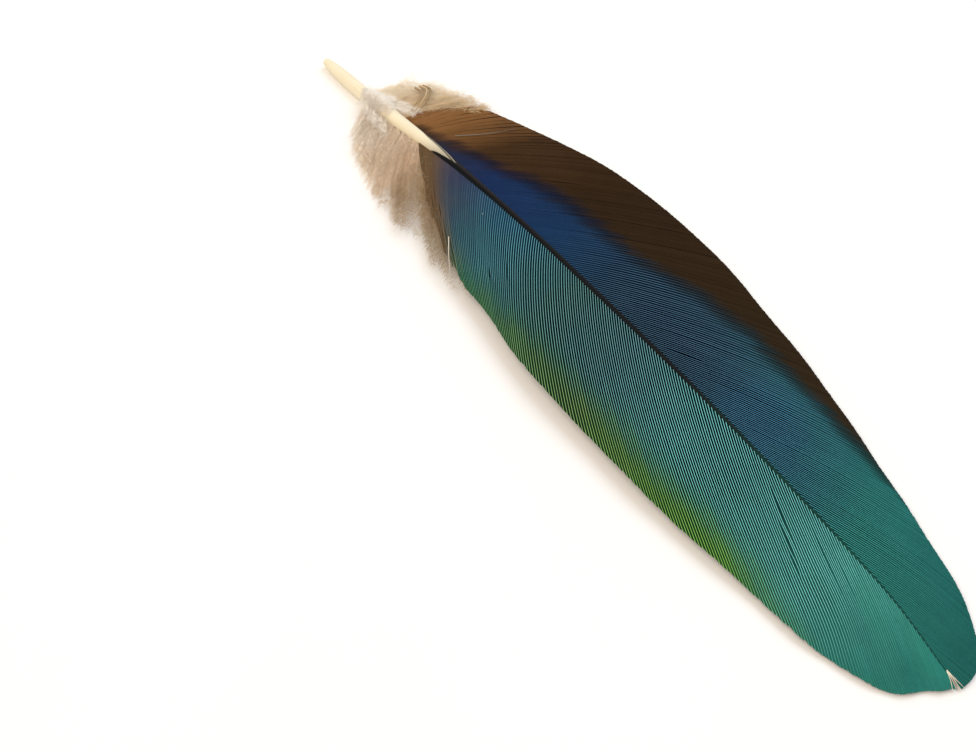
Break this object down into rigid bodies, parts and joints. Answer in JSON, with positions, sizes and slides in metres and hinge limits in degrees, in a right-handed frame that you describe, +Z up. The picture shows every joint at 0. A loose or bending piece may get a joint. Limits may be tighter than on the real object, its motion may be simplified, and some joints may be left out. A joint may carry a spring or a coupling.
{
  "type": "bird feather",
  "caption": "Macaw wing covert feather lying coloured side up: pale quill, dark shaft, narrow outer and wide inner vane with forward-swept barbs, down at the base.",
  "frame": {"origin": "middle of the feather's footprint, on the surface that it lies on", "axes": "+X from the quill end to the tip, +Y towards the wide inner vane, +Z up from the surface, out of the coloured upper side"},
  "size_m": [0.0956, 0.0252, 0.0043],
  "materials": {
    "keratin": "dry, silky barbs, blue to teal on the upper side"
  },
  "bodies": {
    "root": {"feather": "keratin"}
  },
  "joints": []
}
